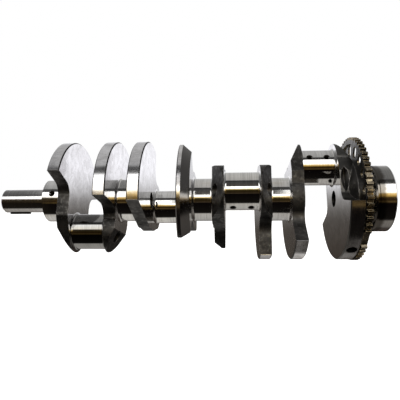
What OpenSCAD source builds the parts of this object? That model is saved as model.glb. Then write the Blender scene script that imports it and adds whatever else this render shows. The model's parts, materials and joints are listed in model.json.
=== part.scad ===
// Cross-plane V8 crankshaft: five main journals, four crankpins and eight counterweighted webs.
// The shaft runs along X, snout at -X and flange at +X, with the origin in the middle main journal.

/* [Journals] */
// Diameter of the main journals
main_d = 65; // [58:0.5:70]
// Distance from one main journal to the next
main_spacing = 113.8; // [110:0.2:122]
// Diameter of the crankpins
pin_d = 53.5; // [48:0.5:58]
// Length of each crankpin, which carries two rods side by side
pin_w = 49.4; // [44:0.2:52]
// Piston stroke, which is twice the throw
stroke = 98; // [88:1:104]
// Fillet radius where a journal meets a web
journal_fillet = 3; // [1:0.5:5]
// Turn of the whole shaft about its own axis
crank_angle = -13.6; // [-180:0.2:180]

/* [Webs] */
// Thickness of a web
web_t = 17.6; // [15:0.2:19]
// Thickness of the last web, which backs the reluctor ring
last_web_t = 20; // [18:0.5:22]
// Outer radius of the counterweights
counterweight_r = 90; // [87:1:96]
// Radius of the hub round a main journal
hub_r = 43; // [41:0.5:46]
// Fillet radius between hub and counterweight
waist_fillet = 20; // [14:1:24]
// Thickness left at the tip of a lobe by its bevel
lobe_tip_t = 1; // [1:0.5:8]
// Distance from the shaft axis at which a lobe's bevel starts
lobe_bevel_start = 49; // [46:1:60]
// Turned bevel on the two counterweights beside the middle main journal
inner_bevel = 11.5; // [4:0.5:12]
// Edge chamfer on the other counterweights
rim_chamfer = 1.5; // [0.5:0.5:3]

/* [Bores] */
// Diameter of the drilled core along the shaft axis
core_d = 24.6; // [16:0.2:26]
// Diameter of the lightening bore through each crankpin
pin_bore_d = 19; // [10:0.5:20]
// Distance of that bore outward from the crankpin's axis
pin_bore_out = 8; // [4:0.5:8]
// Diameter of the oil holes
oil_d = 6; // [4:0.5:7]
// Diameter of the chamfer round an oil hole
oil_mouth_d = 9.4; // [8:0.2:10]
// Diameter of the balance hole in the last web
balance_d = 15; // [8:0.5:16]

/* [Snout] */
// Diameter of the snout
snout_d = 36; // [32:0.5:40]
// Length of the snout
snout_len = 72.6; // [62:0.2:90]
// Diameter of the tapped hole for the damper bolt, M16
snout_bolt_d = 14; // [12:0.5:16]
// Width of the snout key
key_w = 5; // [4:0.5:6]
// Length of the snout key
key_len = 31.5; // [24:0.5:40]
// Height of the key above the snout
key_proud = 2.4; // [1.5:0.1:3]

/* [Rear end] */
// Diameter of the seal surface on the rear flange
flange_d = 98; // [92:1:104]
// Width of the seal surface
seal_w = 22; // [16:1:26]
// Diameter of the flange's bolt circle
bolt_circle_d = 79; // [74:0.5:82]
// Number of tapped holes in the flange
bolt_count = 6; // [4:1:8]
// Diameter of those tapped holes, M11
bolt_d = 9.6; // [8:0.1:10]
// Diameter of the shallow recess that centres the flexplate
pilot_recess_d = 43.4; // [40:0.2:46]
// Outer diameter of the pilot bush
bush_d = 27.8; // [27:0.2:30]
// Bore of the pilot bush
bush_bore_d = 15; // [12:0.5:18]

/* [Reluctor ring] */
// Outer radius of the teeth
ring_r = 91; // [86:1:94]
// Height of the teeth
tooth_h = 3.6; // [2:0.2:4]
// Number of tooth places round the ring
tooth_places = 60; // [36:1:60]
// Number of teeth left out to mark the shaft's position
missing_teeth = 2; // [1:1:2]
// Width of the toothed band
band_w = 8; // [6:0.5:9]
// Number of windows in the ring's plate
window_count = 18; // [8:1:18]

/* [Hidden] */

$fn = 96;
cut = 1;                       // overshoot of every cutting tool
bite = 0.3;                    // overlap where a fillet or boss joins a round hub
overhang = 3;                  // stock outside the counterweights that the turning takes off

throw = stroke / 2;
main_w = main_spacing - pin_w - 2 * web_t;
throw_angles = [-90, 0, 180, 90];

// Each counterweight runs anticlockwise between two angles, measured from its web's own throw.
// The four webs of the rear half repeat the front half in reverse order.
counterweight_spans = [[105, 255], [142, 278], [75, 192], [131.5, 228.5]];
lobe_radii = [32, 37, 37, 36]; // of the two webs beside each crankpin
cheek_angle = 62;              // where a lobe's side leaves it, from the throw
cheek_reach = 0.65;            // where that side meets the hub's width, as a share of the throw
stepped_below = 95;            // a counterweight that starts before this angle has a stepped flank
straight_above = 160;          // and one that starts past this angle has a straight flank
step_lean = 2;                 // how far a stepped flank leans in from its corner

seat_r = 58;                   // boss on the last web that the ring is pressed on
seat_len = 10.5;
last_web_x = 1.5 * main_spacing + pin_w / 2;
seat_x = last_web_x + last_web_t;
rear_main_x = seat_x + seat_len;
rear_main_w = 17;
shoulder_x = rear_main_x + rear_main_w;
shoulder_w = 5;
seal_relief = 2;               // step down in front of the seal surface
seal_x = shoulder_x + shoulder_w;
rear_x = seal_x + seal_w;

front_main_x = -2 * main_spacing - main_w / 2;
snout_front_x = front_main_x - snout_len;
snout_step = 4;                // collar between snout and front main journal

flare_len = 9;                 // cone between the last web's hub and the ring's boss
scoop_r = 36;                  // the pocket in the last web's flank is a slice of a large disc
scoop_w = 12;
scoop_depth = 7;
scoop_x = 7;
scoop_out = 20;
balance_angle = 245;
balance_depth = 15;

key_angle = -76.4;
key_depth = 3;
key_setback = 7;

oil_depth = 13;
oil_offset = 12.5;             // the two oil holes of a crankpin sit this far from its middle
pin_oil_angle = 71.5;
main_oil_angles = [173.6, 40, 320, 25, 340];

band_inner_r = 81;
plate_t = 2.5;
ring_gap = 1;                  // the ring stands this far behind the last web
window_r = 62.5;
window_len = 17.5;
window_w = 13;
window_turn = 3.6;              // the windows are turned this much from the second crankpin
gap_angle = 231.8;             // where the missing teeth lie, turned from the second crankpin
tooth_tip = 0.17;              // half the width of a tooth at its tip, as a share of the pitch
tooth_root = 0.3;              // and at its root

recess_depth = 5;
bush_len = 19;
bolt_depth = 22;
dowel_d = 8;
dowel_len = 16;
dowel_proud = 7;
dowel_chamfer = 1;
plug_len = 6;
plug_wall = 1.6;
plug_setback = 4;
pin_bore_blind = 11;           // the last web's lightening bore stops at this depth

edge_chamfer = 1.5;            // on the ends of the snout and the seal surface
snout_bolt_depth = 50;
snout_bolt_mouth = 2.5;        // the countersink is this much wider all round

function pin_x(p) = (p - 2.5) * main_spacing;
function main_x(m) = (m - 3) * main_spacing;
function polar(r, a) = [r * cos(a), r * sin(a)];
function pin_of(w) = ceil(w / 2);
function is_front_web(w) = w % 2 == 1;
function web_thickness(w) = w == 8 ? last_web_t : web_t;
function web_bevel(w) = w == 4 || w == 5 ? inner_bevel : rim_chamfer;
function web_span(w) = counterweight_spans[w <= 4 ? w - 1 : 8 - w];
function web_lobe(w) = lobe_radii[pin_of(w) - 1];

// Puts a shape drawn in the XY plane across the shaft at x, so that it grows toward +X.
module across(x, turn = 0) {
  translate([x, 0, 0])
    rotate([90, 0, 90])
      rotate([0, 0, crank_angle + turn])
        children();
}

function arc(center, r, a0, a1, steps = 20) =
  [for (i = [0:steps]) center + polar(r, a0 + (a1 - a0) * i / steps)];

// One side of a web from its lobe to a counterweight corner at this angle from the throw.
// A corner well round gets a radial edge, one level with the hub a step, and one nearly
// opposite the throw a straight edge. Fillets end just inside the hub or lobe that they meet.
function cheek(lobe_r) =
  [[throw, 0] + polar(lobe_r - bite, cheek_angle), [cheek_reach * throw, hub_r]];
function stepped_flank(corner, lobe_r) =
  let (center = [corner.x + step_lean + waist_fillet, lobe_r + waist_fillet - bite])
    concat(arc(center, waist_fillet, 270, 180), [corner]);
function radial_flank(a, corner, lobe_r) =
  let (reach = hub_r + waist_fillet - bite,
       lean = asin(waist_fillet / reach))
    concat(cheek(lobe_r), arc(polar(reach, a - lean), waist_fillet, a - lean + 180, a + 90), [corner]);
function straight_flank(a, corner, lobe_r) =
  concat(cheek(lobe_r), [polar(hub_r - bite, a - acos(hub_r / counterweight_r)), corner]);
function flank(a, lobe_r) =
  let (corner = polar(counterweight_r + overhang, a))
    a < stepped_below ? stepped_flank(corner, lobe_r)
    : a < straight_above ? radial_flank(a, corner, lobe_r)
    : straight_flank(a, corner, lobe_r);
function mirrored(points) = [for (i = [len(points) - 1:-1:0]) [points[i].x, -points[i].y]];

module web_outline(span, lobe_r) {
  circle(r = hub_r);
  translate([throw, 0]) circle(r = lobe_r);
  polygon(concat(flank(span[0], lobe_r),
                 arc([0, 0], counterweight_r + overhang, span[0], span[1], 12),
                 mirrored(flank(360 - span[1], lobe_r))));
}

// The lathe's envelope of a web: a chamfer on the crankpin side and a bevel on the journal side.
module turned_blank(t, bevel) {
  r = counterweight_r;
  c = rim_chamfer;
  rotate_extrude()
    polygon([[0, 0], [r - c, 0], [r, c], [r, t - bevel], [r - bevel, t], [0, t]]);
}

// Everything above the sloping plane that thins a lobe toward its tip.
module lobe_bevel(t, lobe_r) {
  tip = throw + lobe_r;
  rotate([90, 0, 0])
    linear_extrude(4 * lobe_r, center = true)
      polygon([[lobe_bevel_start, t], [tip, lobe_tip_t], [tip + lobe_r, lobe_tip_t],
               [tip + lobe_r, t + cut], [lobe_bevel_start, t + cut]]);
}

// A web in its own frame: throw along +X, crankpin side at z = 0, journal side at z = t.
module web_blank(w) {
  t = web_thickness(w);
  bore_depth = w == 8 ? pin_bore_blind : t + cut;
  difference() {
    intersection() {
      linear_extrude(t) web_outline(web_span(w), web_lobe(w));
      turned_blank(t, web_bevel(w));
    }
    lobe_bevel(t, web_lobe(w));
    translate([throw + pin_bore_out, 0, -cut]) cylinder(d = pin_bore_d, h = bore_depth + cut);
  }
}

module web(w) {
  side = is_front_web(w) ? -1 : 1;
  across(pin_x(pin_of(w)) + side * pin_w / 2, throw_angles[pin_of(w) - 1])
    if (is_front_web(w)) mirror([0, 0, 1]) web_blank(w);
    else web_blank(w);
}

// Journal profile turned about z, with a concave fillet at one or both ends.
module journal(d, w, front_fillet = true, back_fillet = true) {
  r = d / 2;
  f = journal_fillet;
  rotate_extrude() {
    square([r, w]);
    if (front_fillet) difference() {
      square([r + f, f]);
      translate([r + f, f]) circle(r = f);
    }
    if (back_fillet) translate([0, w - f]) difference() {
      square([r + f, f]);
      translate([r + f, 0]) circle(r = f);
    }
  }
}

// A drilled oil hole that enters a journal of diameter d at height z, in the direction given.
module oil_hole(d, z, turn) {
  r = d / 2;
  mouth_depth = (oil_mouth_d - oil_d) / 2;
  rotate([0, 0, turn])
    translate([r, 0, z])
      rotate([0, -90, 0]) {
        translate([0, 0, -cut]) cylinder(d = oil_d, h = oil_depth + cut);
        translate([0, 0, -cut]) cylinder(d1 = oil_mouth_d + 2 * cut, d2 = oil_d, h = mouth_depth + cut);
      }
}

module main_journal(m) {
  x = m == 1 ? front_main_x : m == 5 ? rear_main_x : main_x(m) - main_w / 2;
  w = m == 5 ? rear_main_w : main_w;
  color([0.80, 0.80, 0.79])
    across(x)
      difference() {
        journal(main_d, w, m > 1, m < 5);
        oil_hole(main_d, w / 2, main_oil_angles[m - 1]);
        if (m > 1) translate([0, 0, -cut]) cylinder(d = core_d, h = w + 2 * cut);
      }
}

module crankpin(p) {
  color([0.82, 0.82, 0.80])
    across(pin_x(p) - pin_w / 2, throw_angles[p - 1])
      translate([throw, 0, 0])
        difference() {
          journal(pin_d, pin_w);
          for (side = [-1, 1]) oil_hole(pin_d, pin_w / 2 + side * oil_offset, pin_oil_angle);
          translate([pin_bore_out, 0, -cut]) cylinder(d = pin_bore_d, h = pin_w + 2 * cut);
        }
}

module core_bore(x, w) {
  across(x - cut) cylinder(d = core_d, h = w + 2 * cut);
}

module plain_web(w) {
  color([0.24, 0.23, 0.22])
    difference() {
      web(w);
      if (w > 1) core_bore(pin_x(pin_of(w)) + (is_front_web(w) ? -pin_w / 2 - web_t : pin_w / 2), web_t);
    }
}

// The last web carries the ring's boss, a scooped pocket in one flank and a balance hole.
module last_web() {
  color([0.24, 0.23, 0.22])
    difference() {
      union() {
        web(8);
        across(seat_x - flare_len)
          rotate_extrude()
            polygon([[0, 0], [hub_r - bite, 0], [seat_r, flare_len], [seat_r, flare_len + seat_len],
                     [0, flare_len + seat_len]]);
      }
      core_bore(last_web_x, last_web_t + seat_len);
      across(last_web_x + scoop_x, throw_angles[3])
        translate([scoop_out, hub_r + scoop_r - scoop_depth, 0])
          rotate_extrude()
            polygon([[0, -scoop_w / 2], [scoop_r - scoop_depth, -scoop_w / 2], [scoop_r, 0],
                     [scoop_r - scoop_depth, scoop_w / 2], [0, scoop_w / 2]]);
      across(last_web_x + last_web_t / 2, balance_angle)
        translate([counterweight_r + cut, 0, 0])
          rotate([0, -90, 0]) cylinder(d = balance_d, h = balance_depth + cut);
    }
}

module key_slot(extra) {
  across(snout_front_x, key_angle)
    translate([snout_d / 2 - key_depth, -key_w / 2, key_setback])
      cube([key_depth + extra, key_w, key_len]);
}

module snout() {
  r = snout_d / 2;
  bolt_r = snout_bolt_d / 2;
  color([0.72, 0.72, 0.71])
    difference() {
      across(snout_front_x)
        rotate_extrude()
          polygon([[0, 0], [r - edge_chamfer, 0], [r, edge_chamfer], [r, snout_len - snout_step],
                   [r + snout_step, snout_len], [0, snout_len]]);
      across(snout_front_x)
        rotate_extrude()
          polygon([[0, -cut], [bolt_r + snout_bolt_mouth + cut, -cut], [bolt_r, snout_bolt_mouth],
                   [bolt_r, snout_bolt_depth], [0, snout_bolt_depth]]);
      key_slot(key_proud + cut);
    }
}

module snout_key() {
  color([0.12, 0.12, 0.13]) key_slot(key_proud);
}

// Toothed outline with a run of teeth left out, centred on gap_angle.
module tooth_outline() {
  pitch = 360 / tooth_places;
  root_r = ring_r - tooth_h;
  points = [for (i = [0:tooth_places - missing_teeth - 1])
    let (a = gap_angle + (i + (missing_teeth + 1) / 2) * pitch)
      each [polar(root_r, a - tooth_root * pitch), polar(ring_r, a - tooth_tip * pitch),
            polar(ring_r, a + tooth_tip * pitch), polar(root_r, a + tooth_root * pitch)]];
  polygon(points);
}

module ring_window() {
  translate([window_r + window_w / 2, 0]) circle(d = window_w, $fn = 32);
  translate([window_r + window_w / 2, -window_w / 2]) square([window_len - window_w, window_w]);
  translate([window_r + window_len - window_w / 2, 0]) circle(d = window_w, $fn = 32);
}

module reluctor_ring() {
  color([0.38, 0.36, 0.32])
    across(seat_x + ring_gap) {
      linear_extrude(band_w) difference() {
        tooth_outline();
        circle(r = band_inner_r);
      }
      translate([0, 0, (band_w - plate_t) / 2])
        linear_extrude(plate_t) difference() {
          circle(r = band_inner_r + 1);
          circle(r = seat_r);
          for (i = [0:window_count - 1]) rotate(window_turn + i * 360 / window_count) ring_window();
        }
    }
}

module seal_flange() {
  r = flange_d / 2;
  depth = rear_x - shoulder_x;
  relief_r = r - seal_relief;
  color([0.70, 0.69, 0.66])
    across(shoulder_x)
      difference() {
        rotate_extrude()
          polygon([[0, 0], [relief_r - seal_relief, 0], [relief_r, seal_relief], [relief_r, shoulder_w],
                   [r, shoulder_w], [r, depth - edge_chamfer], [r - edge_chamfer, depth], [0, depth]]);
        translate([0, 0, -cut]) cylinder(d = core_d, h = depth + 2 * cut);
        translate([0, 0, depth - recess_depth - bush_len]) cylinder(d = bush_d, h = depth);
        translate([0, 0, depth - recess_depth]) cylinder(d = pilot_recess_d, h = depth);
        for (i = [0:bolt_count - 1])
          rotate(i * 360 / bolt_count)
            translate([bolt_circle_d / 2, 0, depth - bolt_depth]) cylinder(d = bolt_d, h = depth);
        rotate(180 / bolt_count)
          translate([bolt_circle_d / 2, 0, depth - dowel_len + dowel_proud])
            cylinder(d = dowel_d, h = depth);
      }
}

module pilot_bushing() {
  color([0.72, 0.52, 0.28])
    across(rear_x - recess_depth - bush_len)
      difference() {
        cylinder(d = bush_d, h = bush_len);
        translate([0, 0, -cut]) cylinder(d = bush_bore_d, h = bush_len + 2 * cut);
      }
}

// Cup plug that closes the drilled core in front of the flange.
module core_plug() {
  color([0.62, 0.60, 0.52])
    across(rear_main_x + plug_setback)
      difference() {
        cylinder(d = core_d, h = plug_len);
        translate([0, 0, plug_wall]) cylinder(d = core_d - 2 * plug_wall, h = plug_len);
      }
}

module flange_dowel() {
  color([0.45, 0.45, 0.46])
    across(rear_x + dowel_proud - dowel_len, 180 / bolt_count)
      translate([bolt_circle_d / 2, 0, 0]) {
        cylinder(d = dowel_d, h = dowel_len - dowel_chamfer);
        translate([0, 0, dowel_len - dowel_chamfer])
          cylinder(d1 = dowel_d, d2 = dowel_d - 2 * dowel_chamfer, h = dowel_chamfer);
      }
}

snout();
main_journal(1);  // main_journal_1
main_journal(2);  // main_journal_2
main_journal(3);  // main_journal_3
main_journal(4);  // main_journal_4
main_journal(5);  // main_journal_5
crankpin(1);  // crankpin_1
crankpin(2);  // crankpin_2
crankpin(3);  // crankpin_3
crankpin(4);  // crankpin_4
plain_web(1);  // web_1
plain_web(2);  // web_2
plain_web(3);  // web_3
plain_web(4);  // web_4
plain_web(5);  // web_5
plain_web(6);  // web_6
plain_web(7);  // web_7
last_web();  // web_8
reluctor_ring();
seal_flange();
pilot_bushing();
core_plug();
flange_dowel();
snout_key();
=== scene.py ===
import json
import math
import bpy
from mathutils import Matrix, Vector


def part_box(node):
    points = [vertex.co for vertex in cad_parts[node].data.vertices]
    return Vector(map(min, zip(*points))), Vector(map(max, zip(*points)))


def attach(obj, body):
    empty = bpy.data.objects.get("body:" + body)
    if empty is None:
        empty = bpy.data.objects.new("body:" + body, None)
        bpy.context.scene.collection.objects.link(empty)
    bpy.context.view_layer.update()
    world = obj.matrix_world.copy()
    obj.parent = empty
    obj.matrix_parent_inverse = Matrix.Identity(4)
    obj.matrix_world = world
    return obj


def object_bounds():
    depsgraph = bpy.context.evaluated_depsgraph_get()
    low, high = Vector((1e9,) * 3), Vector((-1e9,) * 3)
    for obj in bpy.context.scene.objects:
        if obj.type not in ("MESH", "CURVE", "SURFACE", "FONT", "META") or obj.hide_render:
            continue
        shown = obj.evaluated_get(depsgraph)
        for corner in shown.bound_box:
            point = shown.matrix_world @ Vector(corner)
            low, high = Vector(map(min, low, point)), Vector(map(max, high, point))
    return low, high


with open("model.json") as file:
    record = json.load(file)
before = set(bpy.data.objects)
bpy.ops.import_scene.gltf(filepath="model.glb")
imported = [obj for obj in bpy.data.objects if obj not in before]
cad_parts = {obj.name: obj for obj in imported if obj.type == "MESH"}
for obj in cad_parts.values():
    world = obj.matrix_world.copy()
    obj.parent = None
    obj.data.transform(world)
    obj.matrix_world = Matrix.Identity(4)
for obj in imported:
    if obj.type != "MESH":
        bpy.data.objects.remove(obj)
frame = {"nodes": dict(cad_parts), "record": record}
cad_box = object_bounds()
NODES = frame["nodes"]
MOUNTS = {m["name"]: m["dims"] for m in frame["record"]["mounts"]}
CRANK_TURN = math.radians(-13.6)    # how far the throws and the flange's holes are turned at rest
RIM_R = 0.090                       # radius of the counterweights' turned rims
BEVEL_R = 0.0785                    # where the wide bevel of the two middle webs begins


# ---------------------------------------------------------------- camera
CAMERA_AT = (0.04171, -0.63127, 0.0)
CAMERA_LENS = 37.02
CAMERA_YAW = -4.318
CAMERA_PITCH = -0.021
CAMERA_ROLL = -0.434


def camera():
    """At the height of the axis, a little right of the middle journal, turned toward the snout."""
    data = bpy.data.cameras.new("camera")
    data.sensor_width = 36.0
    data.lens = CAMERA_LENS
    data.clip_start = 0.01
    data.clip_end = 50.0
    cam = bpy.data.objects.new("camera", data)
    yaw, pitch, roll = (math.radians(a) for a in (CAMERA_YAW, CAMERA_PITCH, CAMERA_ROLL))
    fwd = Vector((math.sin(yaw) * math.cos(pitch), math.cos(yaw) * math.cos(pitch), math.sin(pitch)))
    right = Vector((math.cos(yaw), -math.sin(yaw), 0.0))
    up = right.cross(fwd)
    rolled_right = right * math.cos(roll) + up * math.sin(roll)
    rolled_up = up * math.cos(roll) - right * math.sin(roll)
    rot = Matrix((rolled_right, rolled_up, -fwd)).transposed().to_4x4()
    cam.matrix_world = Matrix.Translation(CAMERA_AT) @ rot
    bpy.context.scene.collection.objects.link(cam)
    bpy.context.scene.camera = cam


camera()


# ---------------------------------------------------------------- node helpers
class Graph:
    """A small wrapper that makes shader nodes in one line each."""

    def __init__(self, tree):
        self.tree = tree
        self.nodes = tree.nodes
        self.links = tree.links
        self.nodes.clear()

    def put(self, socket, value):
        if isinstance(value, bpy.types.NodeSocket):
            self.links.new(value, socket)
        elif value is not None:
            socket.default_value = value

    def add(self, kind, inputs=(), **props):
        n = self.nodes.new(kind)
        for k, v in props.items():
            setattr(n, k, v)
        for key, value in dict(inputs).items():
            self.put(n.inputs[key], value)
        return n

    def math(self, op, a, b=None, clamp=False):
        n = self.add("ShaderNodeMath", operation=op, use_clamp=clamp)
        self.put(n.inputs[0], a)
        self.put(n.inputs[1], b)
        return n.outputs[0]

    def weigh(self, a, share_a, b, share_b):
        """a and b, each times its share, added up."""
        return self.math("ADD", self.math("MULTIPLY", a, share_a), self.math("MULTIPLY", b, share_b))

    def band(self, value, lo, hi):
        """0 below lo and 1 above hi, smooth between; the other way round when lo is above hi."""
        n = self.add("ShaderNodeMapRange", interpolation_type="SMOOTHSTEP")
        n.inputs["From Min"].default_value = min(lo, hi)
        n.inputs["From Max"].default_value = max(lo, hi)
        n.inputs["To Min"].default_value = 0.0 if lo < hi else 1.0
        n.inputs["To Max"].default_value = 1.0 if lo < hi else 0.0
        self.put(n.inputs["Value"], value)
        return n.outputs[0]

    def remap(self, value, lo, hi, to_lo, to_hi):
        n = self.add("ShaderNodeMapRange")
        for k, v in (("From Min", lo), ("From Max", hi), ("To Min", to_lo), ("To Max", to_hi)):
            n.inputs[k].default_value = v
        self.put(n.inputs["Value"], value)
        return n.outputs[0]

    def mix(self, fac, a, b):
        n = self.add("ShaderNodeMix", data_type="RGBA")
        self.put(n.inputs["Factor"], fac)
        self.put(n.inputs[6], a)
        self.put(n.inputs[7], b)
        return n.outputs[2]

    def mixf(self, fac, a, b):
        n = self.add("ShaderNodeMix", data_type="FLOAT")
        self.put(n.inputs["Factor"], fac)
        self.put(n.inputs[2], a)
        self.put(n.inputs[3], b)
        return n.outputs[0]

    def ramp(self, value, stops):
        n = self.add("ShaderNodeValToRGB")
        els = n.color_ramp.elements
        while len(els) > 1:
            els.remove(els[-1])
        els[0].position, els[0].color = stops[0][0], (*stops[0][1], 1.0)
        for pos, col in stops[1:]:
            e = els.new(pos)
            e.color = (*col, 1.0)
        self.put(n.inputs[0], value)
        return n.outputs[0]

    def place(self, scale):
        """Object position in metres, stretched by scale."""
        co = self.add("ShaderNodeTexCoord").outputs["Object"]
        n = self.add("ShaderNodeVectorMath", operation="MULTIPLY")
        self.put(n.inputs[0], co)
        n.inputs[1].default_value = scale
        return n.outputs[0]

    def noise(self, scale=(1, 1, 1), detail=3.0, rough=0.5, distortion=0.0, vector=None):
        """Noise with scale waves to the metre along each axis, or along vector if one is given."""
        n = self.add("ShaderNodeTexNoise")
        self.put(n.inputs["Vector"], vector if vector is not None else self.place(scale))
        n.inputs["Scale"].default_value = 1.0
        n.inputs["Detail"].default_value = detail
        n.inputs["Roughness"].default_value = rough
        n.inputs["Distortion"].default_value = distortion
        return n.outputs["Fac"]


def new_material(name):
    m = bpy.data.materials.new(name)
    m.use_nodes = True
    g = Graph(m.node_tree)
    out = g.add("ShaderNodeOutputMaterial")
    b = g.add("ShaderNodeBsdfPrincipled")
    g.links.new(b.outputs[0], out.inputs[0])
    b.inputs["Metallic"].default_value = 1.0
    return m, g, b


def position(g):
    co = g.add("ShaderNodeTexCoord").outputs["Object"]
    s = g.add("ShaderNodeSeparateXYZ", {0: co})
    return s.outputs[0], s.outputs[1], s.outputs[2]


def facing(g):
    """How squarely the surface faces along the shaft, 0 to 1."""
    n = g.add("ShaderNodeTexCoord").outputs["Normal"]
    return g.math("ABSOLUTE", g.add("ShaderNodeSeparateXYZ", {0: n}).outputs[0])


def radius(g, y, z):
    return g.math("SQRT", g.math("ADD", g.math("MULTIPLY", y, y), g.math("MULTIPLY", z, z)))


def shaft_radius(g):
    _, y, z = position(g)
    return radius(g, y, z)


def sideways(g, centre):
    """How much the surface faces round an axis through centre, 0 to 1: high in a hole's mouth."""
    _, y, z = position(g)
    y = g.math("SUBTRACT", y, centre[0])
    z = g.math("SUBTRACT", z, centre[1])
    n = g.add("ShaderNodeSeparateXYZ", {0: g.add("ShaderNodeNewGeometry").outputs["Normal"]})
    cross = g.math("SUBTRACT", g.math("MULTIPLY", y, n.outputs[2]), g.math("MULTIPLY", z, n.outputs[1]))
    return g.math("ABSOLUTE", g.math("DIVIDE", cross, radius(g, y, z)))


def bump(g, height, strength, distance, normal=None):
    n = g.add("ShaderNodeBump")
    n.inputs["Strength"].default_value = strength
    n.inputs["Distance"].default_value = distance
    g.put(n.inputs["Height"], height)
    if normal is not None:
        g.put(n.inputs["Normal"], normal)
    return n.outputs[0]


def edges(g, size):
    """(rounded normal, 0 to 1 near sharp edges), for edges painted lighter: partly wear, partly painted
    highlight.
    """
    soft = g.add("ShaderNodeBevel", {"Radius": size}, samples=6).outputs[0]
    flat = g.add("ShaderNodeNewGeometry").outputs["Normal"]
    dot = g.add("ShaderNodeVectorMath", {0: soft, 1: flat}, operation="DOT_PRODUCT").outputs["Value"]
    return soft, g.band(dot, 0.985, 0.85)


# ---------------------------------------------------------------- materials
def ground_steel(name, tint, rough, lines, centre=(0.0, 0.0)):
    """Ground journal: fine lines round the shaft, faint stains, painted shade in the mouths of the oil
    holes.
    """
    m, g, b = new_material(name)
    fine = g.noise((2600, 6, 6), 2.0, 0.6)
    coarse = g.noise((420, 4, 4), 3.0, 0.6)
    wide = g.noise((95, 14, 14), 3.0, 0.55)
    blotch = g.noise((38, 38, 38), 4.0, 0.55)
    stain_and_shade = g.band(g.noise((16, 60, 60), 5.0, 0.6), 0.52, 0.72)
    streak = g.weigh(coarse, 0.6, wide, 0.4)
    col = g.mix(g.band(streak, 0.36, 0.60), (*[c * 0.78 for c in tint], 1), (*tint, 1))
    col = g.mix(g.math("MULTIPLY", stain_and_shade, 0.30), col, (0.50, 0.44, 0.36, 1))
    # painted shade: the walls of the oil holes are coloured near-black
    hole_shade = g.band(sideways(g, centre), 0.15, 0.32)
    col = g.mix(hole_shade, col, (0.035, 0.032, 0.030, 1))
    g.put(b.inputs["Base Color"], col)
    r = g.math("ADD", g.remap(blotch, 0.3, 0.7, rough * 0.8, rough * 1.3),
               g.remap(fine, 0.3, 0.7, -0.02, 0.02))
    r = g.math("ADD", r, g.math("MULTIPLY", stain_and_shade, 0.06), clamp=True)
    g.put(b.inputs["Roughness"], g.mixf(hole_shade, r, 0.5))
    g.put(b.inputs["Normal"], bump(g, g.weigh(fine, 0.5, coarse, 0.5), lines, 0.00004))
    return m


def web_steel(name, bevelled=False, smooth=False):
    """Forged skin on the flanks, brushed steel where a web is milled or turned.

    bevelled adds a dull turned bevel, and smooth makes the forged skin paler and finer.
    """
    m, g, b = new_material(name)
    face = facing(g)
    r = shaft_radius(g)
    milled = g.band(face, 0.955, 0.985)
    off_rim = g.math("ABSOLUTE", g.math("SUBTRACT", r, RIM_R))
    rim = g.math("MULTIPLY", g.band(off_rim, 0.0006, 0.0003), g.band(face, 0.5, 0.3))
    bright = g.math("MAXIMUM", milled, rim)
    if bevelled:
        slope = g.math("MULTIPLY", g.band(face, 0.66, 0.69), g.band(face, 0.76, 0.73))
        slope = g.math("MULTIPLY", slope, g.band(r, BEVEL_R - 0.0015, BEVEL_R))
        bright = g.math("MAXIMUM", bright, slope)
    soft, edge = edges(g, 0.0009)
    grain = g.noise((900, 900, 900), 3.0, 0.6)
    skin = g.noise((190, 190, 190), 5.0, 0.62)
    patch = g.noise((30, 30, 30), 4.0, 0.55)
    swirl = g.noise((30, 210, 110), 4.0, 0.65, distortion=1.2)
    cloud = g.noise((60, 60, 60), 5.0, 0.65, distortion=0.8)
    across = g.noise((1500, 25, 25), 2.0, 0.5)
    scratch = g.band(g.noise((40, 900, 90), 2.0, 0.5, distortion=1.5), 0.63, 0.72)
    if smooth:
        dark = g.mix(g.band(patch, 0.3, 0.7), (0.085, 0.082, 0.078, 1), (0.13, 0.126, 0.12, 1))
        speckle, dull, gloss, relief = 0.2, 0.36, 0.28, 0.2
    else:
        dark = g.mix(g.band(patch, 0.36, 0.66), (0.030, 0.029, 0.028, 1), (0.080, 0.077, 0.074, 1))
        speckle, dull, gloss, relief = 0.6, 0.60, 0.38, 0.55
    dark = g.mix(g.math("MULTIPLY", g.band(skin, 0.48, 0.70), speckle), dark, (0.15, 0.146, 0.14, 1))
    # edges painted lighter: partly edge wear, partly painted highlight
    wear_and_highlight = g.math("MULTIPLY", edge, g.band(g.math("ADD", skin, g.math("MULTIPLY", patch, 0.5)), 0.6, 0.85))
    dark = g.mix(wear_and_highlight, dark, (0.42, 0.40, 0.38, 1))
    tone = g.weigh(swirl, 0.35, cloud, 0.65)
    light = g.mix(g.band(tone, 0.34, 0.66), (0.58, 0.57, 0.57, 1), (0.86, 0.85, 0.86, 1))
    light = g.mix(g.math("MULTIPLY", scratch, 0.35), light, (0.40, 0.39, 0.38, 1))
    if bevelled:
        light = g.mix(slope, light, (0.22, 0.21, 0.20, 1))
    g.put(b.inputs["Base Color"], g.mix(bright, dark, light))
    rough_light = g.mixf(rim, g.remap(tone, 0.3, 0.7, 0.16, 0.09), g.remap(across, 0.3, 0.7, 0.13, 0.20))
    rough_dark = g.mixf(wear_and_highlight, g.remap(skin, 0.3, 0.7, dull, gloss), 0.30)
    g.put(b.inputs["Roughness"], g.mixf(bright, rough_dark, rough_light))
    forged = bump(g, g.weigh(skin, 0.8, grain, 0.2), relief, 0.0007, soft)
    cut = bump(g, g.weigh(swirl, 0.6, across, 0.4), 0.12, 0.00006)
    n = g.add("ShaderNodeMix", data_type="VECTOR")
    g.put(n.inputs["Factor"], bright)
    g.put(n.inputs[4], forged)
    g.put(n.inputs[5], cut)
    g.put(b.inputs["Normal"], n.outputs[1])
    return m


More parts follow.
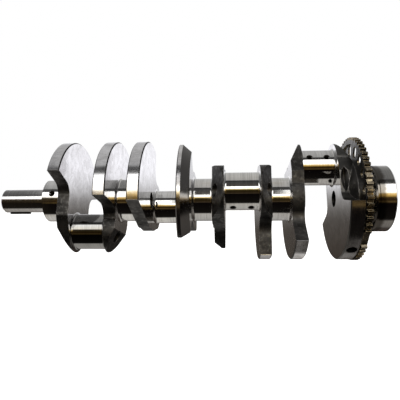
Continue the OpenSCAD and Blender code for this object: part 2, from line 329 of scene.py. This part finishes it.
def ring_steel():
    """Ring: dark bronze-toned steel with a darker plate, and painted gold highlights along its edges."""
    m, g, b = new_material("ring_steel")
    soft, edge = edges(g, 0.0006)
    blotch = g.noise((120, 120, 120), 4.0, 0.6)
    pores = g.noise((1400, 1400, 1400), 2.0, 0.6)
    col = g.ramp(blotch, [(0.3, (0.05, 0.044, 0.036)), (0.5, (0.13, 0.112, 0.085)),
                          (0.72, (0.34, 0.29, 0.20))])
    plate = g.band(facing(g), 0.90, 0.97)
    col = g.mix(plate, col, g.mix(blotch, (0.014, 0.013, 0.011, 1), (0.050, 0.046, 0.040, 1)))
    # painted highlight: gold glints painted along the edges
    col = g.mix(g.math("MULTIPLY", edge, 0.75), col, (0.80, 0.66, 0.42, 1))
    g.put(b.inputs["Base Color"], col)
    g.put(b.inputs["Roughness"], g.mixf(edge, g.remap(blotch, 0.3, 0.7, 0.40, 0.20), 0.20))
    g.put(b.inputs["Normal"], bump(g, g.math("ADD", g.math("MULTIPLY", pores, 0.4), blotch), 0.4,
                                   0.0003, soft))
    return m


def turned(name, tint, rough, shade_to_x=None):
    """Turned steel: tool lines round the shaft on its sides and circles on its ends.

    The last argument, if given, is the x up to which the surface is darkened: painted shade and dark
    reflection.
    """
    m, g, b = new_material(name)
    x, _, _ = position(g)
    along = g.mixf(g.band(facing(g), 0.6, 0.9), x, shaft_radius(g))
    narrow = g.add("ShaderNodeCombineXYZ", {0: g.math("MULTIPLY", along, 1500.0)}).outputs[0]
    lines = g.noise(vector=narrow, detail=3.0, rough=0.6)
    broad = g.add("ShaderNodeCombineXYZ", {0: g.math("MULTIPLY", along, 330.0)}).outputs[0]
    bands = g.noise(vector=broad, detail=2.0, rough=0.5)
    blotch = g.noise((55, 55, 55), 4.0, 0.6)
    col = g.mix(g.band(bands, 0.35, 0.65), (*[c * 0.82 for c in tint], 1), (*tint, 1))
    col = g.mix(g.math("MULTIPLY", g.band(blotch, 0.5, 0.75), 0.3), col, (0.42, 0.39, 0.34, 1))
    if shade_to_x:
        # painted shade and dark reflection: the surface is coloured dark up to the given x
        wander = g.remap(g.noise((25, 260, 260), 4.0, 0.6), 0.3, 0.7, -0.0015, 0.0015)
        stain_and_shade = g.band(g.math("ADD", x, wander), shade_to_x + 0.003, shade_to_x - 0.003)
        col = g.mix(g.math("MULTIPLY", stain_and_shade, 0.8), col, (0.10, 0.085, 0.065, 1))
    g.put(b.inputs["Base Color"], col)
    g.put(b.inputs["Roughness"], g.math("ADD", g.remap(blotch, 0.3, 0.7, rough * 0.85, rough * 1.2),
                                        g.remap(lines, 0.3, 0.7, -0.04, 0.04), clamp=True))
    g.put(b.inputs["Normal"], bump(g, g.math("ADD", lines, bands), 0.3, 0.00008))
    return m


def plain_metal(name, lo, hi, rough, scale):
    """Small parts: a mottled colour between lo and hi, with a fine grain."""
    m, g, b = new_material(name)
    mottle = g.noise((scale, scale, scale), 4.0, 0.6)
    grain = g.noise((scale * 9, scale * 9, scale * 9), 2.0, 0.6)
    g.put(b.inputs["Base Color"], g.mix(g.band(mottle, 0.3, 0.7), (*lo, 1), (*hi, 1)))
    g.put(b.inputs["Roughness"], g.remap(mottle, 0.3, 0.7, rough * 1.2, rough * 0.8))
    g.put(b.inputs["Normal"], bump(g, g.math("ADD", mottle, grain), 0.4, 0.0001))
    return m


journal = ground_steel("ground_journal", (0.80, 0.79, 0.77), 0.075, 0.25)
# painted shade and dark reflection: crankpin_1 and crankpin_4 are tinted darker than the other pins, to
# suit the camera's view
PIN_TINTS_WITH_PAINTED_SHADE = {"crankpin_1": (0.34, 0.335, 0.325),    # darker, to suit the camera's view
             "crankpin_2": (0.80, 0.79, 0.77),
             "crankpin_3": (0.80, 0.79, 0.77),
             "crankpin_4": (0.70, 0.69, 0.67)}
pins = {}
for name, tint in PIN_TINTS_WITH_PAINTED_SHADE.items():
    low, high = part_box(name)
    middle_yz = ((low[1] + high[1]) / 2, (low[2] + high[2]) / 2)
    pins[name] = ground_steel("ground_" + name, tint, 0.065, 0.20, middle_yz)
web = web_steel("forged_web")
web_bevelled = web_steel("forged_web_bevelled", bevelled=True)
web_smooth = web_steel("forged_web_smooth", smooth=True)
snout = turned("turned_steel", (0.70, 0.69, 0.68), 0.13)
# painted shade and dark reflection: width of the dark band on the flange next to the ring
SHADE_BAND_W = 0.012                     # dark band on the flange, next to the ring
flange = turned("turned_flange", (0.74, 0.72, 0.69), 0.10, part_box("seal_flange")[0].x + SHADE_BAND_W)
ring = ring_steel()
bronze = plain_metal("bush_bronze", (0.48, 0.29, 0.12), (0.66, 0.46, 0.22), 0.36, 160)
plug = plain_metal("plug_steel", (0.38, 0.35, 0.24), (0.55, 0.52, 0.40), 0.38, 120)
black = plain_metal("dark_pin", (0.020, 0.020, 0.021), (0.055, 0.052, 0.050), 0.42, 200)
LOOK = {**pins, "web_4": web_bevelled, "web_5": web_bevelled, "web_8": web_smooth,
        "snout": snout, "reluctor_ring": ring, "seal_flange": flange, "pilot_bushing": bronze,
        "core_plug": plug, "flange_dowel": black, "snout_key": black}
for name, obj in NODES.items():
    look = LOOK.get(name, web if name.startswith("web") else journal)
    obj.data.materials.clear()
    obj.data.materials.append(look)


# ---------------------------------------------------------------- threads
STEPS = 28                          # points to a turn
ROOT_SINK = 0.00015                 # how far the ridge's foot reaches into the wall
# the ridge's outline: whether a corner is on the crest, and its place along the hole in pitches
PROFILE = ((False, -0.46), (True, -0.08), (True, 0.08), (False, 0.46))


def thread(name, start, axis, hole_r, depth, pitch, length, material):
    """A helical ridge on the wall of a tapped hole that opens at start and runs along axis."""
    along = Vector(axis).normalized()
    side = along.orthogonal().normalized()
    other = along.cross(side)
    verts, faces = [], []
    total = STEPS * int(length / pitch)
    corners = len(PROFILE)
    for i in range(total + 1):
        angle = 2 * math.pi * i / STEPS
        fade = min(1.0, i / STEPS, (total - i) / STEPS)
        out = side * math.cos(angle) + other * math.sin(angle)
        base = Vector(start) + along * (pitch * (0.6 + i / STEPS))
        for on_crest, shift in PROFILE:
            r = hole_r - depth * fade if on_crest else hole_r + ROOT_SINK
            verts.append(base + out * r + along * (pitch * shift))
    for i in range(total):
        here, ahead = corners * i, corners * (i + 1)
        for k in range(corners):
            k2 = (k + 1) % corners
            faces.append((here + k, here + k2, ahead + k2, ahead + k))
    faces.append(tuple(reversed(range(corners))))
    faces.append(tuple(corners * total + k for k in range(corners)))
    mesh = bpy.data.meshes.new(name)
    mesh.from_pydata(verts, [], faces)
    mesh.validate()
    mesh.materials.append(material)
    obj = bpy.data.objects.new(name, mesh)
    bpy.context.scene.collection.objects.link(obj)
    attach(obj, "root")


def threads():
    """Threads in the snout's M16 hole and the flange's M11 holes, each begun just inside its mouth."""
    snout_hole = MOUNTS["snout_bolt_hole"]
    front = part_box("snout")[0].x + 0.0025
    thread("snout_thread", (front, 0, 0), (1, 0, 0), snout_hole["r_mm"] / 1000,
           depth=0.0007, pitch=0.002, length=0.040, material=snout)
    bolts = MOUNTS["flange_bolts"]
    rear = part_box("seal_flange")[1].x - 0.0003
    circle_r = bolts["pcd_mm"] / 2000
    for i in range(bolts["count"]):
        a = CRANK_TURN + 2 * math.pi * i / bolts["count"]
        hole_shade = (rear, circle_r * math.cos(a), circle_r * math.sin(a))
        thread("flange_thread_%d" % (i + 1), hole_shade, (-1, 0, 0), bolts["hole_r_mm"] / 1000,
               depth=0.0005, pitch=0.0015, length=0.019, material=flange)


threads()


# ---------------------------------------------------------------- studio
def zone(base, changes):
    """The stops of base with some changed or added."""
    return sorted({**dict(base), **changes}.items())


def studio():
    """Light for the reflections: a bright strip in front, dark below it, paler above and under.

    The stops run round the shaft in degrees: 0 in front, 90 above, 180 behind, negative below. They
    differ from zone to zone along the shaft and were chosen to suit the camera's own view.
    So this is not one plain soft light. The camera itself sees plain white instead.
    """
    world = bpy.data.worlds.new("studio")
    bpy.context.scene.world = world
    world.use_nodes = True
    g = Graph(world.node_tree)
    out = g.add("ShaderNodeOutputWorld")
    d = g.add("ShaderNodeTexCoord").outputs["Generated"]
    s = g.add("ShaderNodeSeparateXYZ", {0: d})
    front = g.math("MULTIPLY", s.outputs[1], -1.0)
    angle = g.math("ARCTAN2", s.outputs[2], front)
    turn = g.remap(angle, -math.pi, math.pi, 0.0, 1.0)

    def at(deg):
        return (deg + 180.0) / 360.0

    middle = [
        (-180, (0.30, 0.29, 0.28)), (-176, (0.07, 0.06, 0.05)), (-162, (0.06, 0.055, 0.05)),
        (-150, (0.32, 0.31, 0.30)), (-116, (0.46, 0.45, 0.43)), (-80, (0.50, 0.48, 0.45)),
        (-75, (0.008, 0.007, 0.006)), (-15, (0.003, 0.002, 0.002)), (-12, (0.07, 0.05, 0.03)),
        (-8, (0.02, 0.012, 0.005)), (8, (0.035, 0.024, 0.008)), (11, (0.50, 0.38, 0.15)),
        (14, (1.5, 1.2, 0.6)), (18, (2.5, 2.4, 2.2)), (25, (2.5, 2.5, 2.4)), (28, (0.12, 0.11, 0.10)),
        (40, (0.07, 0.065, 0.06)), (58, (0.06, 0.06, 0.06)), (67, (0.02, 0.02, 0.02)),
        (70, (0.46, 0.45, 0.44)), (100, (0.54, 0.53, 0.51)), (150, (0.55, 0.55, 0.54)),
        (170, (0.85, 0.85, 0.88)), (180, (0.60, 0.60, 0.61))]
    sides = [
        (-180, (0.30, 0.29, 0.28)), (-178, (0.10, 0.09, 0.08)), (-172, (0.050, 0.040, 0.032)),
        (-162, (0.06, 0.05, 0.045)), (-150, (0.40, 0.38, 0.36)), (-125, (0.62, 0.60, 0.57)),
        (-84, (0.66, 0.64, 0.60)), (-77, (0.008, 0.007, 0.006)), (-15, (0.003, 0.002, 0.002)),
        (-11, (0.13, 0.085, 0.03)), (-6, (0.025, 0.014, 0.005)), (4, (0.05, 0.03, 0.01)),
        (8, (0.55, 0.34, 0.08)), (13, (1.00, 0.70, 0.26)), (17, (1.30, 1.05, 0.60)),
        (21, (2.3, 2.2, 2.0)), (48, (2.5, 2.5, 2.5)), (52, (0.07, 0.07, 0.07)),
        (66, (0.06, 0.06, 0.06)), (71, (0.48, 0.48, 0.48)), (110, (0.56, 0.56, 0.56)),
        (145, (0.50, 0.50, 0.50)), (168, (1.05, 1.05, 1.09)), (176, (1.15, 1.15, 1.20)),
        (178, (0.80, 0.80, 0.82)), (180, (0.30, 0.29, 0.28))]
    tail = [
        (-180, (0.30, 0.29, 0.28)), (-178, (0.10, 0.09, 0.08)), (-172, (0.050, 0.040, 0.032)),
        (-125, (0.06, 0.05, 0.045)), (-112, (0.18, 0.17, 0.16)), (-84, (0.22, 0.205, 0.19)),
        (-77, (0.008, 0.007, 0.006)), (-15, (0.003, 0.002, 0.002)), (-11, (0.13, 0.085, 0.03)),
        (-6, (0.025, 0.014, 0.005)), (4, (0.05, 0.03, 0.01)), (8, (0.55, 0.34, 0.08)),
        (13, (1.00, 0.66, 0.20)), (17, (1.10, 0.82, 0.36)), (21, (2.3, 2.2, 2.0)),
        (48, (2.5, 2.5, 2.5)), (52, (0.07, 0.07, 0.07)), (66, (0.05, 0.05, 0.05)),
        (71, (0.17, 0.17, 0.17)), (110, (0.20, 0.20, 0.20)), (145, (0.34, 0.34, 0.34)),
        (168, (1.05, 1.05, 1.09)), (176, (1.15, 1.15, 1.20)), (178, (0.80, 0.80, 0.82)),
        (180, (0.30, 0.29, 0.28))]
    nose = [
        (-180, (0.30, 0.29, 0.28)), (-165, (0.12, 0.11, 0.10)), (-128, (0.36, 0.34, 0.32)),
        (-84, (0.42, 0.40, 0.37)), (-77, (0.015, 0.013, 0.010)), (-15, (0.012, 0.009, 0.006)),
        (2, (0.030, 0.022, 0.013)), (20, (0.05, 0.037, 0.023)), (24, (2.2, 2.1, 2.0)),
        (45, (2.5, 2.5, 2.5)), (50, (0.10, 0.10, 0.10)), (66, (0.11, 0.11, 0.11)),
        (110, (0.19, 0.19, 0.19)), (145, (0.34, 0.34, 0.34)), (168, (1.05, 1.05, 1.09)),
        (180, (0.30, 0.29, 0.28))]

    left = zone(sides, {8: (0.04, 0.028, 0.012), 13: (0.05, 0.036, 0.018), 17: (0.20, 0.17, 0.13)})
    right = zone(sides, {-125: (0.60, 0.58, 0.55), -117: (0.05, 0.045, 0.04), -84: (0.035, 0.030, 0.024)})
    rear = zone(tail, {-125: (0.17, 0.16, 0.15), -112: (0.05, 0.045, 0.04), -84: (0.012, 0.010, 0.008)})

    def shades(stops):
        return g.ramp(turn, [(at(a), c) for a, c in stops])

    # each zone takes over from the one before it between two x parts of the direction
    zones = ((-0.430, -0.412, left), (-0.300, -0.285, sides), (-0.160, -0.125, middle),
             (0.120, 0.145, right), (0.225, 0.245, rear), (0.295, 0.310, tail))
    col = shades(nose)
    for start, stop, stops in zones:
        col = g.mix(g.band(s.outputs[0], start, stop), col, shades(stops))
    lit = g.add("ShaderNodeBackground", {0: col, 1: 1.0})
    white = g.add("ShaderNodeBackground", {0: (1, 1, 1, 1), 1: 1.0})
    path = g.add("ShaderNodeLightPath")
    mixed = g.add("ShaderNodeMixShader",
                  {0: path.outputs["Is Camera Ray"], 1: lit.outputs[0], 2: white.outputs[0]})
    g.links.new(mixed.outputs[0], out.inputs[0])


FLOOR_R = 6.0
FLOOR_SIDES = 48
FLOOR_DROP = 0.03                   # the floor lies this far below the part


def floor():
    """A pale disc that glows, and that the part does not reflect."""
    mesh = bpy.data.meshes.new("floor")
    z = cad_box[0][2] - FLOOR_DROP
    angles = [2 * math.pi * i / FLOOR_SIDES for i in range(FLOOR_SIDES)]
    outline = [(FLOOR_R * math.cos(a), FLOOR_R * math.sin(a), z) for a in angles]
    mesh.from_pydata(outline, [], [list(range(FLOOR_SIDES))])
    obj = bpy.data.objects.new("floor", mesh)
    bpy.context.scene.collection.objects.link(obj)
    m = bpy.data.materials.new("floor")
    m.use_nodes = True
    g = Graph(m.node_tree)
    out = g.add("ShaderNodeOutputMaterial")
    b = g.add("ShaderNodeBsdfPrincipled")
    b.inputs["Base Color"].default_value = (0.9, 0.9, 0.9, 1)
    b.inputs["Roughness"].default_value = 0.9
    b.inputs["Emission Color"].default_value = (1, 1, 1, 1)
    b.inputs["Emission Strength"].default_value = 0.75
    g.links.new(b.outputs[0], out.inputs[0])
    mesh.materials.append(m)
    obj.visible_glossy = False


def softbox(name, power, size, place, aim):
    """A rectangular light that shows neither to the camera nor in reflections."""
    data = bpy.data.lights.new(name, "AREA")
    data.shape = "RECTANGLE"
    data.size, data.size_y = size
    data.energy = power
    obj = bpy.data.objects.new(name, data)
    obj.location = place
    obj.rotation_euler = (Vector(aim) - Vector(place)).to_track_quat("-Z", "Y").to_euler()
    obj.visible_camera = False
    obj.visible_glossy = False
    bpy.context.scene.collection.objects.link(obj)


studio()
floor()
softbox("key_light", 10.0, (1.6, 0.5), (0.2, -0.7, 1.3), (0, 0, 0))
bpy.context.scene.view_settings.view_transform = "Standard"
